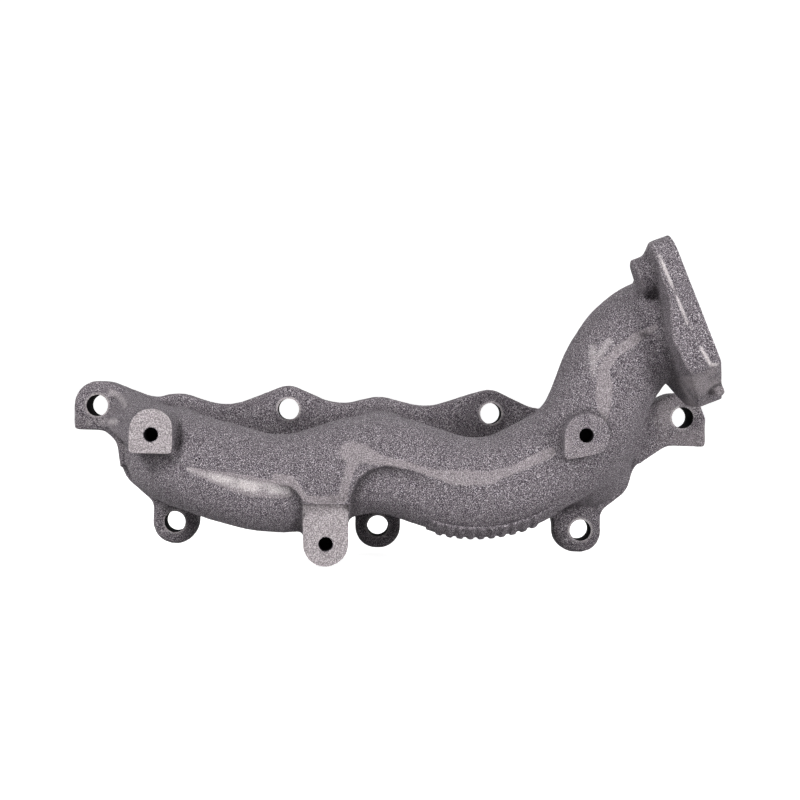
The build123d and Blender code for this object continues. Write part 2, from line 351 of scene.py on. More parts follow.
def read_normals(mesh):
    return read_vectors(mesh.vertex_normals, "vector")


def write_points(mesh, points):
    mesh.vertices.foreach_set("co", points.ravel())
    mesh.update()


def swell(piece, distance):
    points = read_points(piece.data) + read_normals(piece.data) * distance
    write_points(piece.data, points)


def relax(piece, rounds, strength=0.5):
    smooth = piece.modifiers.new("relax", "SMOOTH")
    smooth.factor = strength
    smooth.iterations = rounds
    settle(piece)


def close_corners(piece, distance, steps):
    """Grows the skin by the distance and shrinks it back, with a fresh skin after each step."""
    for direction in (1, -1):
        for step in range(steps):
            swell(piece, direction * distance / steps)
            reskin(piece, voxel)


wide_fillet = 3.4 * MM
reskin(casting, voxel)
close_corners(casting, wide_fillet, 3)
relax(casting, 1)
print("skin faces:", len(casting.data.polygons))

# %% [markdown]
# The outlet flange and the bosses meet the tubes in a tighter corner. They are added afterwards and get a
# small fillet of their own. The plate's own edges go in again as well, because shrinking wears them down.

# %% Tighter corners
tight_fillet = 1.3 * MM
lost_in_relaxing = 0.12 * MM
joined = bmesh.new()
joined.from_mesh(casting.data)
add_body(joined)
add_details(joined)
add_extras(joined)
add_tab(joined)
joined.to_mesh(casting.data)
joined.free()
reskin(casting, voxel)
close_corners(casting, tight_fillet, 1)
relax(casting, 1)
swell(casting, lost_in_relaxing)
print("skin faces with the flange and bosses:", len(casting.data.polygons))

# %% [markdown]
# ## Marks of the mould and the grinder
# The two halves of the mould never meet perfectly. Along the front of the log the lower half sits a little
# further back, which leaves a ledge, and the flash along it has been ground to a smooth pale strip.
# These marks are small, so they are pressed into the skin point by point, by distance from a few drawn
# lines. Their numbers are in millimetres.

# %% Lines drawn on the front
strip_lines = [
    # x, z and half the width there
    [(-15, 4, 5.2), (-8, 3.6, 4.4), (1, 0.8, 2.4), (14, -1.6, 1.7), (26, -5.2, 2.3), (40, -6.9, 4.0),
     (52, -6.5, 3.4), (66, -1.4, 2.2), (78, 5, 2.6), (81, 6.4, 2.2)],
    [(106.8, 22, 0.6), (106, 27, 3.0), (105.6, 38, 4.0), (105.3, 47, 2.6), (112, 55.5, 2.8),
     (120.3, 61.7, 2.6), (129.2, 67.2, 1.6)],
    [(-92, -5.4, 1.0), (-79, -9.0, 2.6), (-68, -12.0, 3.8), (-57, -13.8, 4.2), (-45, -14.6, 3.0)],
    [(-50, -8.5, 1.8), (-43, -9.5, 2.2), (-39, -13.5, 1.6), (-35.5, -18.4, 1.8), (-26, -19.2, 2.2)],
    [(-26, -19.2, 2.2), (-18, -18.4, 2.0), (-16.8, -11, 2.2), (-15, -4, 2.8), (-12, 2, 3.4)],
]
# how strongly each strip counts; the 1.6 on the left log's strip adds a painted highlight on top of the
# ground strip's pale colour
strip_painted_highlight = [1.0, 1.0, 1.6, 1.0, 1.0]
ledge_right = [(-14.6, -34), (-14.3, -17), (-11.2, -9.0), (-5.4, -3.9)]
ledge_right += [(2.5, -1.6), (14, -3.4), (26, -8), (40, -12)]
ledge_left = [(-36.6, -34), (-36.8, -21), (-38.9, -16.2), (-43, -12.4), (-50, -11.2), (-58, -12)]


def line_distance(x, z, line):
    """Distance from a broken line, the side (+1 to the left of it), and how far along it (0 to 1)."""
    best = np.full(x.shape, 1e9)
    side = np.zeros(x.shape)
    along = np.zeros(x.shape)
    count = len(line) - 1
    for number in range(count):
        ax, az = line[number][:2]
        bx, bz = line[number + 1][:2]
        dx, dz = bx - ax, bz - az
        share = np.clip(((x - ax) * dx + (z - az) * dz) / (dx * dx + dz * dz), 0, 1)
        gap = np.hypot(x - ax - share * dx, z - az - share * dz)
        nearer = gap < best
        best = np.where(nearer, gap, best)
        side = np.where(nearer, np.sign(dx * (z - az) - dz * (x - ax)), side)
        along = np.where(nearer, (number + share) / count, along)
    return best, side, along


def ramp(value, start, end):
    """Smoothly from 0 at start to 1 at end."""
    share = np.clip((value - start) / (end - start), 0, 1)
    return share * share * (3 - 2 * share)


def strip_mask(points):
    """1 on the ground strips along the front, more where a painted highlight is added on the left log's
    strip, and 0 away from them.
    """
    x, y, z = (points / MM).T
    mask = np.zeros(len(points))
    for line, painted_highlight in zip(strip_lines, strip_painted_highlight):
        gap, _, along = line_distance(x, z, line)
        width = np.interp(along * (len(line) - 1), range(len(line)), [point[2] for point in line])
        mask = np.maximum(mask, (1 - ramp(gap / width, 0.2, 1.7)) * painted_highlight)
    return mask * (1 - ramp(y, -70, -64))


def shadow_mask(points):
    """Painted shade: 1 in the dark crease below each ledge, about half on the plate behind the log where it
    lies in shade, and 0 elsewhere.
    """
    x, y, z = (points / MM).T
    mask = np.zeros(len(points))
    for line, low_side in ((ledge_right, -1), (ledge_left, 1)):
        gap, side, along = line_distance(x, z, line)
        fade = 1 - ramp(along, 0.55, 1.0)
        mask = np.maximum(mask, ramp(side * low_side * gap, -0.1, 0.5) * (1 - ramp(gap, 0.5, 7.5)) * fade)
    mask *= 1 - ramp(y, -62, -52)
    # painted shade on the plate behind the log, where shade falls
    behind_log = (1 - ramp(z, 13, 27)) * ramp(y, -24, -16) * ramp(x, -118, -100) * (1 - ramp(x, 88, 100))
    dimness = 0.55
    return np.maximum(mask, dimness * behind_log)


# %% Press the marks in
points = read_points(casting.data)
normals = read_normals(casting.data)
x, y, z = (points / MM).T
front = (1 - ramp(y, -72, -60)) * ramp(-normals[:, 1], -0.1, 0.3)

# the lower half of the mould sits back along the two ledges
gap, side, _ = line_distance(x, z, ledge_right)
depth = np.interp(x, [-16, -8, 4, 16, 30, 42], [3.2, 3.0, 2.2, 1.3, 0.6, 0.0])
below = ramp(-side * gap, -0.2, 0.8) * (1 - ramp(gap, 5, 15)) * (z < 0)
push = below * depth
gap, side, _ = line_distance(x, z, ledge_left)
depth = np.interp(x, [-58, -50, -40, -36], [0.0, 0.8, 2.2, 2.6])
below = ramp(side * gap, -0.2, 0.8) * (1 - ramp(gap, 4, 12))
push = np.maximum(push, below * depth * (x < -36.4))


def spot(centre_x, centre_z, wide, high):
    """1 at a place on the front, falling off softly over its width and height."""
    return np.exp(-(((x - centre_x) / wide) ** 2 + ((z - centre_z) / high) ** 2))


def stroke(line, half_width):
    """1 on a line on the front, falling off softly to both sides."""
    return np.exp(-((line_distance(x, z, line)[0] / half_width) ** 2))


# a dent under the outlet flange, and a groove and two burrs beside the left boss
push += spot(124.5, 63.0, 4.2, 3.0) * 1.6
push += stroke([(-97.6, 20), (-97.8, 6)], 1.6) * 1.3
push -= stroke([(-94.2, 13), (-93.6, 1)], 1.3) * 0.6
push -= spot(-95.6, 3.4, 1.6, 1.8) * 0.9
# the flat above the tab is a little hollow, with a steeper edge than a dent
sunken_flat = np.exp(-(((x + 26.5) / 9) ** 2 + ((z + 7) / 9) ** 2) ** 2)
push += sunken_flat * 0.7 * (y < -70)
points[:, 1] += push * front * MM
# the grinder took off a little more along the strips
ground_away = 0.25 * MM
strip = np.minimum(strip_mask(points), 1)
points -= normals * (strip * ground_away)[:, None]
write_points(casting.data, points)
print("deepest mark in mm:", round(float((push * front).max()), 2))

# %% [markdown]
# Iron has seeped between the mould halves on the outlet flange's rim and left a thin raised line, with a
# blob and a nub beside it. Thin rods and small balls, melted into the rim by a fresh skin, look like that.

# %% Flash and blobs on the outlet flange's rim
rim_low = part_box("outlet_flange")[0].y


def rim_point(outward, rise_up, depth=0.0):
    """A point on the outlet flange's near rim, in millimetres from the face, the bore and the rim's front."""
    place = outlet_centre + outlet_normal * outward * MM + outlet_up * rise_up * MM
    return Vector((place.x, rim_low + depth * MM, place.z))


def add_blob(bm, middle, radius):
    place = Matrix.Translation(middle)
    bmesh.ops.create_icosphere(bm, subdivisions=3, radius=radius, matrix=place)


joined = bmesh.new()
joined.from_mesh(casting.data)
add_rod(joined, rim_point(-8.9, 33, 0.5), rim_point(-8.5, 16, 0.15), 0.9 * MM, 12)
add_rod(joined, rim_point(-8.6, 18, 0.3), rim_point(-8.3, -1, 0.2), 1.1 * MM, 12)
add_rod(joined, rim_point(-6.6, -14, 0.4), rim_point(-5.2, -23, 0.5), 1.0 * MM, 12)
add_blob(joined, rim_point(-7.3, -3.4, 0.4), 1.5 * MM)
nub = outlet_centre - outlet_normal * 2.2 * MM - outlet_up * 37 * MM - into_head * 24 * MM
add_blob(joined, nub, 3.2 * MM)
joined.to_mesh(casting.data)
joined.free()
reskin(casting, voxel)
print("skin faces with the flash:", len(casting.data.polygons))

# %% [markdown]
# Sand leaves slow waves and fine pits all over. Bump in a material wouldn't change the outline, so both are
# pushed into the mesh with cloud textures.

# %% Uneven sand-cast surface
def lumps(piece, name, size, height):
    """Raises and sinks the skin with soft clouds of the given size and height."""
    cloud = bpy.data.textures.new(name, "CLOUDS")
    cloud.noise_scale = size
    cloud.noise_depth = 2
    rough = piece.modifiers.new(name, "DISPLACE")
    rough.texture = cloud
    rough.strength = height
    rough.mid_level = 0.5
    rough.texture_coords = "LOCAL"


lumps(casting, "slow_waves", 14 * MM, 0.7 * MM)
lumps(casting, "sand_pits", 2.2 * MM, 0.28 * MM)
settle(casting)
relax(casting, 1, 0.3)
print("casting height in mm:", round(casting.dimensions.z / MM, 1))

# %% [markdown]
# ## Bright edges and painted shade in hollows
# Shot blasting and handling leave the outer corners of a casting brighter. Its hollows are darkened, which is
# painted shade. How sharply the skin bends is measured here, while it is still whole, so that a cut between
# two features doesn't count as an edge. Each piece looks its value up later.

# %% Measure how the skin bends
def bend_of_skin(mesh, rounds):
    points = read_points(mesh)
    normals = read_normals(mesh)
    edges = np.empty(len(mesh.edges) * 2, int)
    mesh.edges.foreach_get("vertices", edges)
    a, b = edges.reshape(-1, 2).T
    step = points[b] - points[a]
    bend = ((normals[b] - normals[a]) * step).sum(1) / np.maximum((step**2).sum(1), 1e-12)
    count = np.bincount(a, minlength=len(points)) + np.bincount(b, minlength=len(points))
    total = np.bincount(a, bend, len(points)) + np.bincount(b, bend, len(points))
    value = total / np.maximum(count, 1)
    for turn in range(rounds):
        spread = np.bincount(a, value[b], len(points)) + np.bincount(b, value[a], len(points))
        value = 0.5 * value + 0.5 * spread / np.maximum(count, 1)
    return value


skin_bend = bend_of_skin(casting.data, 4)
skin_tree = kdtree.KDTree(len(skin_bend))
for index, point in enumerate(read_points(casting.data)):
    skin_tree.insert(point, index)
skin_tree.balance()
print("bend per metre, 5 to 95 percent:", np.percentile(skin_bend, (5, 50, 95)).round(0))


# %% [markdown]
# ## Milling
# The head face, the outlet face, the two shield bosses and the bracket tab are milled flat. A Boolean
# difference with a block does what the cutter does, and leaves a crisp corner that cast faces don't have.

# %% Cutters
def block(name, low, high):
    """A closed block between two corners."""
    bm = bmesh.new()
    size = high - low
    place = Matrix.Translation((low + high) / 2) @ Matrix.Diagonal((size.x, size.y, size.z, 1))
    bmesh.ops.create_cube(bm, size=1, matrix=place)
    return new_piece(name, bm)


def half_space(name, origin, normal, reach=0.3, depth=0.3):
    """A large block on the side of a plane that its normal points to."""
    bm = bmesh.new()
    turn = normal.to_track_quat("Z", "Y").to_matrix().to_4x4()
    place = Matrix.Translation(origin) @ turn @ Matrix.Translation((0, 0, depth / 2))
    size = Matrix.Diagonal((reach * 2, reach * 2, depth, 1))
    bmesh.ops.create_cube(bm, size=1, matrix=place @ size)
    return new_piece(name, bm)


def combine(piece, cutter, operation):
    """Applies a Boolean with a cutter, which stays in the scene."""
    tool = piece.modifiers.new("tool", "BOOLEAN")
    tool.object = cutter
    tool.operation = operation
    tool.solver = "MANIFOLD"
    settle(piece)


def discard(*cutters):
    """Removes cutters that are no longer needed."""
    for cutter in cutters:
        bpy.data.objects.remove(cutter)


def mill(piece, cutter):
    """Takes the cutter's shape out of the piece, and the cutter out of the scene."""
    combine(piece, cutter, "DIFFERENCE")
    discard(cutter)


beyond = 40 * MM
margin = Vector((3, 0, 3)) * MM
mill(casting, half_space("head_cut", Vector((0, 0, 0)), into_head))
mill(casting, half_space("outlet_cut", outlet_centre, outlet_normal))
for side in ("left", "right"):
    low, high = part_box(f"shield_boss_{side}")
    low_corner = Vector((low.x, low.y - beyond, low.z)) - margin
    high_corner = Vector((high.x, boss_face[side], high.z)) + margin
    mill(casting, block("boss_cut", low_corner, high_corner))
tab_top = -20.9 * MM
low_corner = Vector((tab_low.x - 0.4 * MM, tab_low.y - beyond, tab_low.z - beyond))
high_corner = Vector((tab_high.x + 0.2 * MM, tab_low.y, tab_top))
mill(casting, block("tab_cut", low_corner, high_corner))
print("faces after milling:", len(casting.data.polygons))

# %% [markdown]
# ## Parting the casting into its features
# The engineering model names each feature, so the casting is parted into the same features along the same
# kind of planes. A piece and its remainder come from one block, used once to keep and once to take away,
# so the two faces of a cut match exactly and no gap shows.

# %% Part off
parts = {}


def part_off(source, name, cutter):
    """Moves what lies inside the cutter from the source to a new piece."""
    piece = source.copy()
    piece.data = source.data.copy()
    piece.name = name
    bpy.context.scene.collection.objects.link(piece)
    combine(piece, cutter, "INTERSECT")
    combine(source, cutter, "DIFFERENCE")
    discard(cutter)
    return piece


def part_at_plane(source, name, origin, normal):
    return part_off(source, name, half_space("split", origin, normal))


def part_in_block(source, name, low, high):
    return part_off(source, name, block("split", low, high))


back_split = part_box("upper_bolt_lug_1")[0].y - 2 * MM
plate_low = at(-300, 0, -100) + into_head * back_split
plate = part_in_block(casting, "plate", plate_low, at(300, 100, 40))
column_names = ["upper_bolt_lug_1", "port_flange_left", "upper_bolt_lug_2", "port_flange_centre"]
column_names += ["upper_bolt_lug_3", "port_flange_right", "upper_bolt_lug_4"]
lower_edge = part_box("lower_bolt_lug_centre")[1].z
for name in column_names[:-1]:
    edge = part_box(name)[1].x
    parts[name] = part_at_plane(plate, name, Vector((edge, 0, 0)), -along_engine)
    if name.startswith("port_flange"):
        lug_name = name.replace("port_flange", "lower_bolt_lug")
        parts[lug_name] = part_at_plane(parts[name], lug_name, Vector((0, 0, lower_edge)), -upward)
parts[column_names[-1]] = plate
print("flange pieces:", len(parts))

# %% Part the outboard half
in_front = -120 * MM
upper = part_at_plane(casting, "outlet_elbow_upper", *meetings["outlet_elbow_upper"])
flange_split = outlet_centre - outlet_normal * 19.8 * MM
flange = part_at_plane(upper, "outlet_flange", flange_split, outlet_normal)
boss_pieces = []
stud_boss_radius = 9.3 * MM
for centre, root in zip(stud_centres[:2], (12.0, 15.0)):
    bm = bmesh.new()
    foot = centre - outlet_normal * 25 * MM
    add_rod(bm, foot, centre - outlet_normal * root * MM, stud_boss_radius)
    boss_pieces.append(part_off(flange, "outlet_stud_bosses", new_piece("split", bm)))
parts["outlet_elbow_upper"] = upper
parts["outlet_flange"] = flange

runner_split = -32 * MM
lower = part_at_plane(casting, "outlet_elbow_lower", *meetings["outlet_elbow_lower"])
runner = part_at_plane(lower, "runner_right", Vector((0, runner_split, 0)), into_head)
web_low = at(0, -60, 0) + along_engine * (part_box("end_gusset_right")[1].x - 12 * MM)
parts["end_gusset_right"] = part_in_block(runner, "end_gusset_right", web_low, at(200, 0, 60))
right_root = -83.2 * MM
boss_low, boss_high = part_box("shield_boss_right")
boss_low = Vector((boss_low.x, in_front, boss_low.z)) - margin
boss_high = Vector((boss_high.x, right_root, boss_high.z)) + margin
parts["shield_boss_right"] = part_in_block(lower, "shield_boss_right", boss_low, boss_high)
parts["outlet_elbow_lower"] = lower
parts["runner_right"] = runner

split_place, split_heading = meetings["log_left"]
left = part_at_plane(casting, "port_elbow_left", split_place, -split_heading)
left_root, left_heading = at(-111.1, -73.4, 12), Vector((-0.6, -0.8, 0))
parts["shield_boss_left"] = part_at_plane(left, "shield_boss_left", left_root, left_heading)
web_low, web_high = at(-160, -90, 2), at(-124.5, 0, 60)
parts["end_gusset_left"] = part_in_block(left, "end_gusset_left", web_low, web_high)
parts["port_elbow_left"] = left

parts["runner_centre"] = part_at_plane(casting, "runner_centre", Vector((0, runner_split, 0)), into_head)
beside_tab = 0.8 * MM
split_low = Vector((tab_low.x - beside_tab, in_front, tab_low.z - 10 * MM))
split_high = Vector((tab_high.x + beside_tab, -55 * MM, tab_top))
parts["bracket_tab"] = part_in_block(casting, "bracket_tab", split_low, split_high)
for name, following in (("log_left", "log_centre"), ("log_centre", "log_right")):
    split_place, split_heading = meetings[following]
    parts[name] = part_at_plane(casting, name, split_place, -split_heading)
parts["log_right"] = casting
print("pieces so far:", len(parts) + 1)

# %% [markdown]
# ## Core and drill
# The gas passage follows the log's centre line. It is a row of circles bridged into a closed bar, and each
# piece that it passes has it taken out. Bolt holes and tapped holes are plain drills.

# %% Bars for the gas passage
def bar(name, line, radii, across):
    """A closed round bar along a line of points. The direction across it is the same at every point."""
    bm = bmesh.new()
    rings = []
    for index, point in enumerate(line):
        before = line[max(index - 1, 0)]
        after = line[min(index + 1, len(line) - 1)]
        heading = (after - before).normalized()
        side = (across - heading * across.dot(heading)).normalized()
        turn = Matrix((side, heading.cross(side), heading)).transposed().to_4x4()
        ring = bmesh.ops.create_circle(
            bm,
            cap_ends=index in (0, len(line) - 1),
            segments=64,
            radius=radii[index],
            matrix=Matrix.Translation(point) @ turn,
        )
        rings.append(ring["verts"])
    for pair in zip(rings, rings[1:]):
        edges = []
        for members in map(set, pair):
            edges += [edge for edge in bm.edges if members.issuperset(edge.verts)]
        bmesh.ops.bridge_loops(bm, edges=edges)
    bmesh.ops.recalc_face_normals(bm, faces=bm.faces)
    return new_piece(name, bm)


past_face = 10 * MM
log_line[-1] = outlet_centre + outlet_normal * past_face
log_radii = [bore_radius] * (len(log_line) - 3) + [20 * MM, outlet_radius * 0.99, outlet_radius]
log_bore = bar("log_bore", log_line, log_radii, into_head)
narrowing = (bore_radius - port_radius) / (len(left_line) - 1)
left_radii = [port_radius + narrowing * index for index in range(len(left_line))]
left_bore = bar("left_bore", left_line, left_radii, upward)
right_line = route(at(106, 4, 0), [(at(106, -30, 0), 26 * MM)], at(97, log_y, 11))
right_bore = bar("right_bore", right_line, [port_radius] * len(right_line), upward)
centre_line = [at(0, 4, 0), at(0, -30, 0), at(0, log_y, 0)]
centre_bore = bar("centre_bore", centre_line, [port_radius] * 3, upward)

passages = [
    (left_bore, ["port_flange_left", "port_elbow_left", "end_gusset_left", "log_left"]),
    (right_bore, ["port_flange_right", "runner_right", "end_gusset_right", "outlet_elbow_lower"]),
    (log_bore, ["log_left", "log_centre", "log_right", "outlet_elbow_lower", "outlet_elbow_upper"]),
    (log_bore, ["outlet_flange", "bracket_tab"]),
    (centre_bore, ["log_centre", "port_flange_centre", "runner_centre"]),
]
for bore, names in passages:
    for name in names:
        combine(parts[name], bore, "DIFFERENCE")
discard(log_bore, left_bore, right_bore, centre_bore)
print("cored pieces:", len({name for bore, names in passages for name in names}))

# %% Drill the holes
drilled = []


def drill(name, start, end, radius):
    """Drills a hole from its bottom to above its mouth, and notes it for the finish."""
    bm = bmesh.new()
    add_rod(bm, start, end, radius, 64)
    drilled.append((start, (end - start).normalized(), radius))
    mill(parts[name], new_piece("drill", bm))


def holder_of(centre):
    """The flange piece that a bolt hole goes through."""
    names = column_names + [name for name in parts if name.startswith("lower_bolt_lug")]
    for name in names:
        low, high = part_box(name)
        if low.x <= centre.x <= high.x and low.z <= centre.z <= high.z:
            return name


for centre in bolt_centres:
    front, behind = into_head * -30 * MM, into_head * 20 * MM
    drill(holder_of(centre), centre + front, centre + behind, bolt_radius)
stud_depth = outlet_normal * 11 * MM
stud_above = outlet_normal * past_face
for centre in stud_centres:
    drill("outlet_flange", centre - stud_depth, centre + stud_above, stud_radius)
for piece, centre in zip(boss_pieces, stud_centres):
    parts["outlet_stud_bosses"] = piece
    drill("outlet_stud_bosses", centre - stud_depth, centre + stud_above, stud_radius)


def countersink(name, mouth, axis, radius, width=0.7 * MM):
    """Breaks the edge of a hole with a short cone of the given width."""
    bm = bmesh.new()
    turn = axis.to_track_quat("Z", "Y").to_matrix().to_4x4()
    bmesh.ops.create_cone(
        bm,
        cap_ends=True,
        segments=64,
        radius1=radius * 0.98,
        radius2=radius + width * 3,
        depth=width * 3 + radius * 0.02,
        matrix=Matrix.Translation(mouth + axis * width) @ turn,
    )
    mill(parts[name], new_piece("countersink", bm))


tap_holders = [("shield_boss_left", "port_elbow_left"), ("shield_boss_right", "outlet_elbow_lower")]
tap_holders.append(("bracket_tab",))
for tap, holders in zip(tap_names, tap_holders):
    axis = Vector(mounts[tap]["axis"])
    half = mounts[tap]["dims"]["length_mm"] * MM / 2
    middle = mount_place(tap)
    for holder in holders:
        drill(holder, middle - axis * half, middle + axis * past_face, tap_radius)
    countersink(holders[0], middle + axis * half, axis, tap_radius)

both = bmesh.new()
for piece in boss_pieces:
    both.from_mesh(piece.data)
discard(*boss_pieces)
parts["outlet_stud_bosses"] = new_piece("outlet_stud_bosses", both)
print("holes drilled:", len(drilled))

# %% [markdown]
# ## Rib pad under the log
# A thin raised pad with a row of plain ribs runs under the right-hand sag. A fine remesh of the
# engineering shape rounds its corners as the sand would.

# %% Rib pad
pad = bmesh.new()
add_copy(pad, "underside_rib_pad")
rib_pad = new_piece("underside_rib_pad_cast", pad)
reskin(rib_pad, (0.5) * MM)
relax(rib_pad, 2)
lumps(rib_pad, "pad_pits", 2.2 * MM, 0.35 * MM)
settle(rib_pad)
parts["underside_rib_pad"] = rib_pad
print("rib pad faces:", len(rib_pad.data.polygons))

# %% [markdown]
# ## Finish masks
# The cast skin's material needs to know where it is ground or worn, where painted light, painted highlights
# or painted shadow go, and where it is sharply bent. Each of those is worked out from a point's place and
# stored on the mesh as a named attribute.

# %% Masks
hole_rims = [(centre.x / MM, centre.z / MM) for centre in bolt_centres]
scrape_and_highlight_lines = [
    # the line in x and z, how far forward it starts and how strong it is
    # the first two lines run along the left web's edges and are a painted highlight where light catches them;
    # the others are scrapes
    ([(-151, 13.5), (-133, 15.5)], -10, 0.5),
    ([(-139.5, 30), (-128, 24)], -10, 0.5),
    ([(-113, -29), (-109, -32.5)], -10, 0.5),
    ([(101, 44), (100.6, 57)], -60, 0.42),
    ([(101, 50), (108, 60)], -60, 0.42),
]
rim_lines = [
    [rim_point(-8.9, 33), rim_point(-8.5, 16), rim_point(-8.3, -1)],
    [rim_point(-7.4, -3), rim_point(-7.2, -4)],
    [rim_point(-6.6, -14), rim_point(-5.2, -23), rim_point(-2.0, -24)],
]


def worn_and_highlight_mask(points):
    """1 on the scraped rims of the bolt holes and on the outlet rim's flash, and less on a few scrapes and on
    painted highlights along the left web's edges.
    """
    x, y, z = (points / MM).T
    mask = np.zeros(len(points))
    for hole_x, hole_z in hole_rims:
        gap = np.hypot(x - hole_x, z - hole_z)
        mask = np.maximum(mask, (1 - ramp(gap, 5.7, 7.0)) * (y > -24))
    for line in rim_lines:
        gap = line_distance(x, z, [(point.x / MM, point.z / MM) for point in line])[0]
        mask = np.maximum(mask, 1.05 * (1 - ramp(gap, 0.25, 1.0)) * (y < rim_low / MM + 3))
    for line, front_start, strength in scrape_and_highlight_lines:
        gap = line_distance(x, z, line)[0]
        mask = np.maximum(mask, strength * (1 - ramp(gap, 0.2, 2.6)) * (y < front_start))
    return mask


def pale_mask(points):
    """Part-way to 1 on the rubbed faces, the foot of the outlet rim and the right boss, and on the end lugs
    as painted light where the lamps light them.
    """
    x, y, z = (points / MM).T
    offset = points - np.array(outlet_centre)
    rise_up = offset @ np.array(outlet_up) / MM
    outward = offset @ np.array(outlet_normal) / MM
    rim_foot = (1 - ramp(rise_up, -26, -22.5)) * ramp(outward, -18, -15) * (1 - ramp(y, -64, -58))
    # painted light: the end lugs are made paler where the lamps light them
    right_lug = ramp(x, 136, 146) * (1 - ramp(y, -17, -12)) * (1 - ramp(z, 32, 36))
    left_lug = (1 - ramp(x, -132, -122)) * (1 - ramp(y, -17, -12)) * (1 - ramp(z, 36, 40))
    right_boss = (1 - ramp(y, -88.6, -88.2)) * (np.abs(x - 97) < 14) * (z < 30)
    return np.maximum.reduce([0.55 * rim_foot, 0.5 * right_lug, 0.36 * left_lug, 0.42 * right_boss])


def store(mesh, name, values):
    """Keeps one number for each corner point of the mesh, for a material to read by name."""
    attribute = mesh.attributes.new(name, "FLOAT", "POINT")
    attribute.data.foreach_set("value", np.asarray(values, dtype=np.float32))


bend_scale = 500


def finish_piece(piece):
    """Stores the masks, and shades the piece smooth except at its machined corners."""
    mesh = piece.data
    points = read_points(mesh)
    # the ground strips and rubbed faces, with painted light on the end lugs and a painted highlight on the
    # left log's strip
    store(mesh, "ground_and_painted_light", np.maximum(strip_mask(points), pale_mask(points)))
    store(mesh, "worn_and_highlight", worn_and_highlight_mask(points))
    store(mesh, "shadow", shadow_mask(points))
    bend = [skin_bend[skin_tree.find(point)[1]] for point in points]
    # the bend: paler convex edges from wear, and painted shade in the hollows
    store(mesh, "edge", np.clip(np.array(bend) / bend_scale, -1, 1) * 0.5 + 0.5)
    mesh.shade_smooth()
    mesh.set_sharp_from_angle(angle=math.radians(38))


for piece in parts.values():
    finish_piece(piece)
print("largest piece:", max(len(piece.data.polygons) for piece in parts.values()))

# %% [markdown]
# ## Iron
# Blasted grey iron is a dark, slightly purple grey, broken up by thousands of tiny bright and dark grains.
# One node group makes that grain for every finish, and each material mixes it with its own colours.

# %% Node helpers and the grain group
def add_socket(group, name, direction, kind, default=None):
    socket = group.interface.new_socket(name=name, in_out=direction, socket_type=kind)
    if default is not None:
        socket.default_value = default
    return socket


def link(tree, source, target):
    tree.links.new(source, target)


def ramp_colours(tree, factor, stops):
    """Colours from a list of positions and their red, green and blue."""
    ramp_node = tree.nodes.new("ShaderNodeValToRGB")
    elements = ramp_node.color_ramp.elements
    elements[0].position, elements[0].color = stops[0][0], (*stops[0][1], 1)
    elements[1].position, elements[1].color = stops[-1][0], (*stops[-1][1], 1)
    for position, colour in stops[1:-1]:
        elements.new(position).color = (*colour, 1)
    link(tree, factor, ramp_node.inputs["Fac"])
    return ramp_node.outputs["Color"]


def mix_colours(tree, factor, first, second):
    mix = tree.nodes.new("ShaderNodeMix")
    mix.data_type = "RGBA"
    link(tree, factor, mix.inputs["Factor"])
    link(tree, first, mix.inputs["A"])
    link(tree, second, mix.inputs["B"])
    return mix.outputs["Result"]


def math_node(tree, operation, first, second, clamp=False):
    """Arithmetic on two values, each a number or another node's output."""
    node = tree.nodes.new("ShaderNodeMath")
    node.operation = operation
    node.use_clamp = clamp
    for socket, value in zip(node.inputs, (first, second)):
        if isinstance(value, (int, float)):
            socket.default_value = value
        else:
            link(tree, value, socket)
    return node.outputs[0]


def stretched(tree, value, start, gain):
    """0 until the value reaches the start, and rising from there to 1. A negative gain turns it round."""
    return math_node(tree, "MULTIPLY", math_node(tree, "SUBTRACT", value, start), gain, True)


def attribute_value(tree, name):
    node = tree.nodes.new("ShaderNodeAttribute")
    node.attribute_name = name
    return node.outputs["Fac"]


def build_grain():
    """Fine and coarse speckle in one mask, and a height for bump."""
    group = bpy.data.node_groups.new("iron_grain", "ShaderNodeTree")
    add_socket(group, "Vector", "INPUT", "NodeSocketVector")
    add_socket(group, "Grain Scale", "INPUT", "NodeSocketFloat", 1300.0)
    add_socket(group, "Contrast", "INPUT", "NodeSocketFloat", 0.5)
    add_socket(group, "Speckle", "OUTPUT", "NodeSocketFloat")
    add_socket(group, "Patches", "OUTPUT", "NodeSocketFloat")
    add_socket(group, "Height", "OUTPUT", "NodeSocketFloat")
    inside = group.nodes.new("NodeGroupInput")
    outside = group.nodes.new("NodeGroupOutput")
    fine = group.nodes.new("ShaderNodeTexNoise")
    fine.inputs["Detail"].default_value = 2.0
    fine.inputs["Roughness"].default_value = 0.75
    link(group, inside.outputs["Vector"], fine.inputs["Vector"])
    link(group, inside.outputs["Grain Scale"], fine.inputs["Scale"])
    spread = group.nodes.new("ShaderNodeMapRange")
    spread.inputs["From Min"].default_value = 0.34
    spread.inputs["From Max"].default_value = 0.66
    link(group, fine.outputs["Fac"], spread.inputs["Value"])
    patches = group.nodes.new("ShaderNodeTexNoise")
    patches.inputs["Scale"].default_value = 75.0
    patches.inputs["Detail"].default_value = 3.0
    link(group, inside.outputs["Vector"], patches.inputs["Vector"])
    centred = math_node(group, "SUBTRACT", spread.outputs["Result"], 0.5)
    scaled = math_node(group, "MULTIPLY", centred, inside.outputs["Contrast"])
    link(group, math_node(group, "ADD", scaled, 0.5), outside.inputs["Speckle"])
    link(group, patches.outputs["Fac"], outside.inputs["Patches"])
    link(group, spread.outputs["Result"], outside.inputs["Height"])
    return group


iron_grain = build_grain()
print("sockets in the grain group:", len(iron_grain.interface.items_tree))
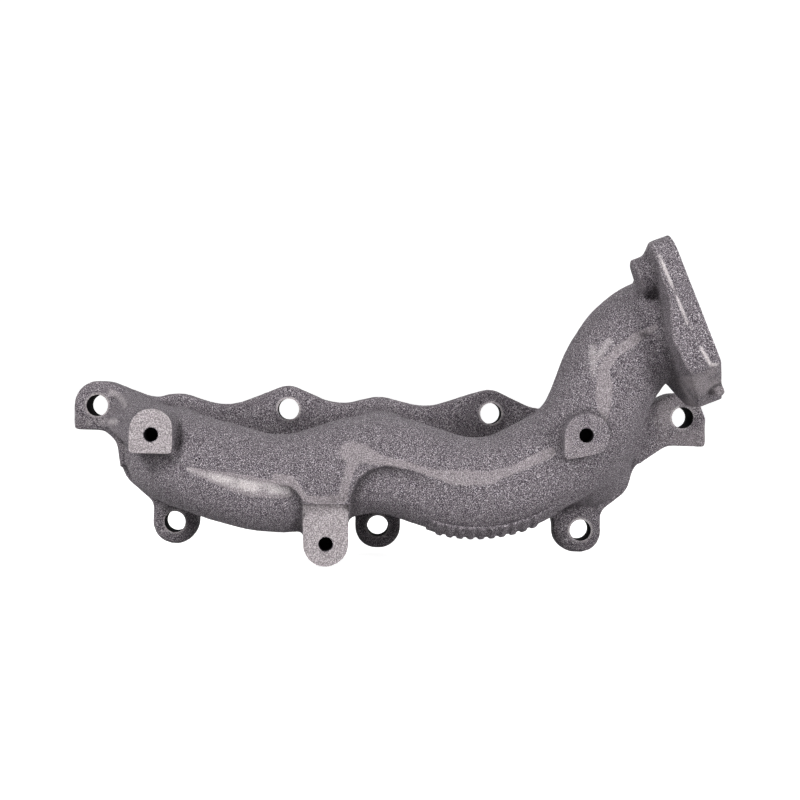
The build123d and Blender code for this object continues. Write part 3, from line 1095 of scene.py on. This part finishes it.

# %% [markdown]
# ## Three finishes
# The cast skin is the grain in dark colours, mixed towards paler ones by the masks for ground strips, worn
# edges and scraped rims, and by painted light on the end lugs and painted highlights on the left log's strip
# and the left web's edges. It is mixed towards near-black as painted shade in creases, below the ledges and
# on the plate behind the log. Large patches break the mixing up, because a grinder or a spanner never leaves
# an even mark. Milled faces and drilled holes are simpler, and the drilled holes are painted near-black as
# the shade inside them.

# %% Materials
def start_iron(name, roughness, metallic, scale, contrast, bump_strength):
    """A material with the grain group and its bump in place, and no colour yet."""
    material = bpy.data.materials.new(name)
    material.use_nodes = True
    tree = material.node_tree
    shader = tree.nodes["Principled BSDF"]
    shader.inputs["Roughness"].default_value = roughness
    shader.inputs["Metallic"].default_value = metallic
    shader.inputs["Specular IOR Level"].default_value = 0.3
    place = tree.nodes.new("ShaderNodeTexCoord")
    grain = tree.nodes.new("ShaderNodeGroup")
    grain.node_tree = iron_grain
    grain.inputs["Grain Scale"].default_value = scale
    grain.inputs["Contrast"].default_value = contrast
    link(tree, place.outputs["Object"], grain.inputs["Vector"])
    bump = tree.nodes.new("ShaderNodeBump")
    bump.inputs["Strength"].default_value = bump_strength
    bump.inputs["Distance"].default_value = 0.0004
    link(tree, grain.outputs["Height"], bump.inputs["Height"])
    link(tree, bump.outputs["Normal"], shader.inputs["Normal"])
    return material, tree, shader, grain


def build_cast():
    material, tree, shader, grain = start_iron("cast_iron_skin", 0.7, 0.2, 2350.0, 0.95, 0.8)
    dark = ramp_colours(tree, grain.outputs["Speckle"], [
        (0.0, (0.010, 0.008, 0.011)),
        (0.38, (0.075, 0.064, 0.075)),
        (0.6, (0.168, 0.146, 0.166)),
        (0.8, (0.38, 0.34, 0.37)),
        (1.0, (0.85, 0.81, 0.83)),
    ])
    pale = ramp_colours(tree, grain.outputs["Speckle"], [
        (0.0, (0.075, 0.066, 0.070)),
        (0.5, (0.25, 0.22, 0.235)),
        (1.0, (0.60, 0.55, 0.57)),
    ])
    # a bright colour for the painted highlights and for the worn rims and scrapes
    bright = ramp_colours(tree, grain.outputs["Speckle"], [
        (0.0, (0.22, 0.20, 0.205)),
        (0.5, (0.55, 0.50, 0.51)),
        (1.0, (0.88, 0.85, 0.85)),
    ])
    edge = attribute_value(tree, "edge")
    patches = grain.outputs["Patches"]
    broken = math_node(tree, "MULTIPLY", stretched(tree, edge, 0.62, 3.0), patches)
    ground_and_light_mask = attribute_value(tree, "ground_and_painted_light")
    ground_and_painted_light = stretched(tree, math_node(tree, "ADD", ground_and_light_mask, patches), 0.85, 3.6)
    scraped = stretched(tree, patches, 0.34, 5.0)
    worn_and_highlight = math_node(tree, "MULTIPLY", attribute_value(tree, "worn_and_highlight"), scraped, True)
    pale_share = math_node(tree, "MAXIMUM", math_node(tree, "MAXIMUM", ground_and_painted_light, broken), worn_and_highlight)
    colour = mix_colours(tree, pale_share, dark, pale)
    # painted highlight: where the ground mask goes above 1, on the left log's strip, the colour is mixed on
    # towards the bright colour
    painted_highlight = stretched(tree, ground_and_light_mask, 1.0, 1.7)
    bright_share = math_node(tree, "MAXIMUM", math_node(tree, "MULTIPLY", painted_highlight, scraped), worn_and_highlight)
    colour = mix_colours(tree, bright_share, colour, bright)
    # painted shade: concave bends and the shadow mask mix the colour towards near-black, standing in for the
    # shade in creases, below the ledges and on the plate behind the log
    crease = stretched(tree, edge, 0.47, -7.0)
    painted_shade_share = math_node(tree, "MAXIMUM", crease, attribute_value(tree, "shadow"))
    painted_shade_colour = ramp_colours(tree, grain.outputs["Speckle"], [
        (0.0, (0.006, 0.005, 0.006)),
        (0.6, (0.045, 0.038, 0.044)),
        (1.0, (0.20, 0.18, 0.19)),
    ])
    dimmed = math_node(tree, "MULTIPLY", painted_shade_share, 0.75)
    link(tree, mix_colours(tree, dimmed, colour, painted_shade_colour), shader.inputs["Base Color"])
    return material


def build_machined():
    material, tree, shader, grain = start_iron("machined_iron_face", 0.5, 0.3, 1750.0, 1.0, 0.3)
    face = ramp_colours(tree, grain.outputs["Speckle"], [
        (0.0, (0.11, 0.096, 0.102)),
        (0.5, (0.26, 0.232, 0.243)),
        (1.0, (0.52, 0.48, 0.49)),
    ])
    link(tree, face, shader.inputs["Base Color"])
    return material


def build_bore():
    material, tree, shader, grain = start_iron("drilled_bore_painted_shade", 1.0, 0.0, 900.0, 0.6, 0.2)
    shader.inputs["Specular IOR Level"].default_value = 0.1
    # painted shade: the near-black colour stands for the shade inside the holes, not for the drilled iron's
    # own colour
    face = ramp_colours(tree, grain.outputs["Speckle"], [
        (0.0, (0.003, 0.003, 0.0035)),
        (1.0, (0.012, 0.010, 0.012)),
    ])
    link(tree, face, shader.inputs["Base Color"])
    return material


cast_skin = build_cast()
machined_face = build_machined()
bore_painted_shade = build_bore()
print("materials:", [material.name for material in (cast_skin, machined_face, bore_painted_shade)])

# %% [markdown]
# A face's finish depends on which tool made it. A face that lies in a milling plane gets the milled finish,
# one on a drill's wall or floor gets the drilled material, painted near-black as the shade inside a hole, and
# all others keep the cast skin. The right boss was rubbed down by hand after casting, so its face stays cast
# skin with a pale mask.

# %% Give each face its finish
flat_slack = 0.02 * MM
round_slack = 0.06 * MM
milled_planes = [
    (Vector((0, 0, 0)), into_head, None),
    (outlet_centre, outlet_normal, None),
    (Vector((0, boss_face["left"], 0)), -into_head, "shield_boss_left"),
    (Vector((0, tab_low.y, 0)), -into_head, "bracket_tab"),
]


def finish_faces(name, piece):
    """Sets each face's material: 0 is cast skin, 1 is milled and 2 is drilled."""
    mesh = piece.data
    mesh.materials.clear()
    for material in (cast_skin, machined_face, bore_painted_shade):
        mesh.materials.append(material)
    centres = read_vectors(mesh.polygons, "center")
    normals = read_vectors(mesh.polygons, "normal")
    finish = np.zeros(len(mesh.polygons), dtype=np.int32)
    for origin, direction, only in milled_planes:
        height = (centres - np.array(origin)) @ np.array(direction)
        facing = normals @ np.array(direction)
        if only in (None, name):
            finish[(np.abs(height) < flat_slack) & (facing > 0.99)] = 1
    for start, axis, radius in drilled:
        offset = centres - np.array(start)
        along = offset @ np.array(axis)
        away = np.linalg.norm(offset - along[:, None] * np.array(axis), axis=1)
        sideways = np.abs(normals @ np.array(axis)) < 0.05
        finish[(np.abs(away - radius) < round_slack) & sideways] = 2
        finish[(away < radius) & (np.abs(along) < flat_slack)] = 2
    mesh.polygons.foreach_set("material_index", finish)
    return int((finish == 1).sum()), int((finish == 2).sum())


for name, piece in parts.items():
    milled, bored = finish_faces(name, piece)
    if milled or bored:
        print(f"{name}: {milled} milled faces, {bored} drilled faces")

# %% [markdown]
# ## Fasten the pieces to the frame
# The manifold is rigid, so every piece rides on the one body, and each stands for the feature of its name.

# %% Ride and replace
for name, piece in parts.items():
    piece.name = name + "_cast"
    piece.data.name = piece.name
    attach(piece, "root")
    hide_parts(name)
print("pieces that ride on the frame:", len(parts))

# %% [markdown]
# ## Studio
# The manifold is shown against white, with soft lights in front on both sides and one behind, so the shape
# reads from gentle shading. The floor lies just under its lowest point. It and the world look white to the
# camera, but send little light to the casting, which would flatten it.

# %% Floor, lights and camera
def place_object(name, data):
    thing = bpy.data.objects.new(name, data)
    bpy.context.scene.collection.objects.link(thing)
    return thing


def seen_directly(tree, lit, seen):
    """One strength for the light that falls on the casting, and another for what the camera looks at."""
    path = tree.nodes.new("ShaderNodeLightPath")
    added = math_node(tree, "MULTIPLY", path.outputs["Is Camera Ray"], seen - lit)
    return math_node(tree, "ADD", added, lit)


def build_floor():
    bm = bmesh.new()
    place = Matrix.Translation((0, 0, cad_box[0].z - 0.5 * MM))
    bmesh.ops.create_grid(bm, x_segments=1, y_segments=1, size=15, matrix=place)
    floor = new_piece("floor", bm)
    material = bpy.data.materials.new("pale_floor")
    material.use_nodes = True
    tree = material.node_tree
    shader = tree.nodes["Principled BSDF"]
    shader.inputs["Roughness"].default_value = 0.9
    place = tree.nodes.new("ShaderNodeTexCoord")
    noise = tree.nodes.new("ShaderNodeTexNoise")
    noise.inputs["Scale"].default_value = 3.0
    link(tree, place.outputs["Object"], noise.inputs["Vector"])
    tone = ramp_colours(tree, noise.outputs["Fac"], [(0.0, (0.60, 0.60, 0.60)), (1.0, (0.66, 0.66, 0.66))])
    link(tree, tone, shader.inputs["Base Color"])
    shader.inputs["Emission Color"].default_value = (1, 1, 1, 1)
    link(tree, seen_directly(tree, 0.0, 0.90), shader.inputs["Emission Strength"])
    floor.data.materials.append(material)


def area_light(name, place, aim, size, energy):
    lamp = bpy.data.lights.new(name, "AREA")
    lamp.shape = "SQUARE"
    lamp.size = size
    lamp.energy = energy
    thing = place_object(name, lamp)
    heading = (aim - place).to_track_quat("-Z", "Y").to_matrix().to_4x4()
    thing.matrix_world = Matrix.Translation(place) @ heading


build_floor()
centre = (cad_box[0] + cad_box[1]) / 2
area_light("key_light", Vector((-0.8, -1.1, 0.9)), centre, 0.5, 25)
area_light("side_light", Vector((1.0, -1.1, 0.25)), centre, 0.5, 17)
area_light("back_light", Vector((0.3, 1.2, 1.1)), centre, 0.9, 7)

world = bpy.data.worlds.new("studio")
bpy.context.scene.world = world
world.use_nodes = True
backdrop = world.node_tree.nodes["Background"]
backdrop.inputs["Color"].default_value = (1, 1, 1, 1)
link(world.node_tree, seen_directly(world.node_tree, 0.24, 1.12), backdrop.inputs["Strength"])

lens = bpy.data.cameras.new("camera")
lens.lens = 66.7
lens.sensor_width = 36
lens.shift_x = 0.05
lens.shift_y = -0.01875
lens.clip_start = 0.01
camera = place_object("camera", lens)
roll = Matrix.Rotation(math.radians(1.22), 4, "Z")
camera.matrix_world = (
    Matrix.Translation(at(-10.8, -789, 36.5)) @ Matrix.Rotation(math.radians(90), 4, "X") @ roll
)
bpy.context.scene.camera = camera
bpy.context.scene.view_settings.view_transform = "Standard"
print("camera distance in m:", round((camera.matrix_world.translation - centre).length, 3))
